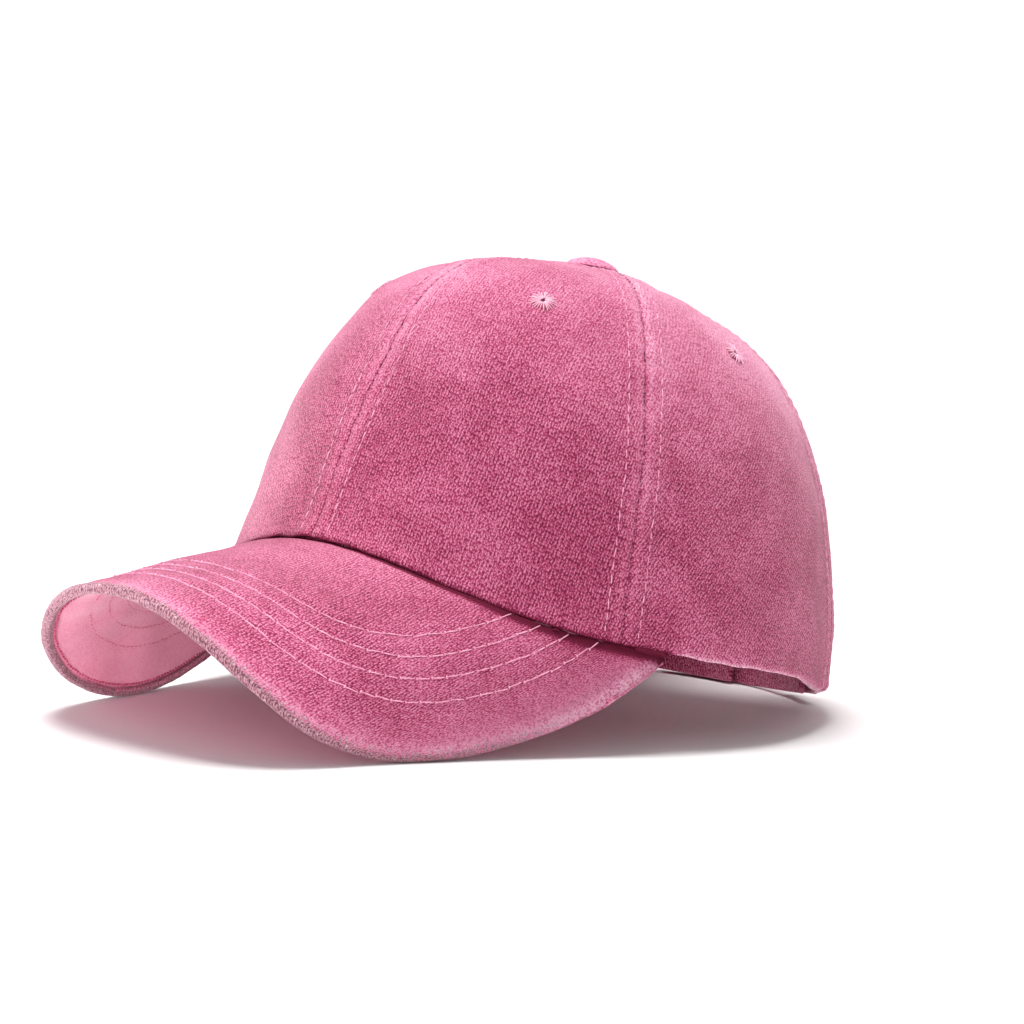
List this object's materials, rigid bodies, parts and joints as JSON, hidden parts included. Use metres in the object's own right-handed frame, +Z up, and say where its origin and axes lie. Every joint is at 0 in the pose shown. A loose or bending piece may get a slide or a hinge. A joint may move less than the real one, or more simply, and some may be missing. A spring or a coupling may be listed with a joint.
{
  "type": "ponytail baseball cap",
  "caption": "Six-panel washed cotton baseball cap with a curved visor, covered top button, embroidered eyelets and a tall bound ponytail opening closed by a hook-and-loop tab.",
  "frame": {"origin": "on the surface that the cap stands on, under the middle of its bounding box", "axes": "-Y towards the visor, +X to the wearer's left, +Z up"},
  "size_m": [0.1738, 0.2662, 0.1365],
  "materials": {
    "crown_twill": "washed cotton twill, matt, mottled",
    "undervisor_twill": "washed cotton twill, matt, lighter salmon pink",
    "band_cotton": "plain cotton tape, matt, deeper pink",
    "thread": "satin-stitched polyester thread, slight sheen",
    "hook_and_loop": "nylon hook-and-loop tape, matt"
  },
  "bodies": {
    "root": {"crown_front_left": "crown_twill", "crown_front_right": "crown_twill", "crown_side_left": "crown_twill", "crown_side_right": "crown_twill", "crown_back_left": "crown_twill", "crown_back_right": "crown_twill", "eyelet_front_left": "thread", "eyelet_front_right": "thread", "eyelet_side_left": "thread", "eyelet_side_right": "thread", "eyelet_back_left": "thread", "eyelet_back_right": "thread", "top_button": "crown_twill", "visor_top": "crown_twill", "visor_under": "undervisor_twill", "sweatband": "band_cotton", "opening_binding": "band_cotton", "strap_left": "crown_twill", "strap_right": "crown_twill", "strap_fastener": "hook_and_loop"}
  },
  "joints": []
}
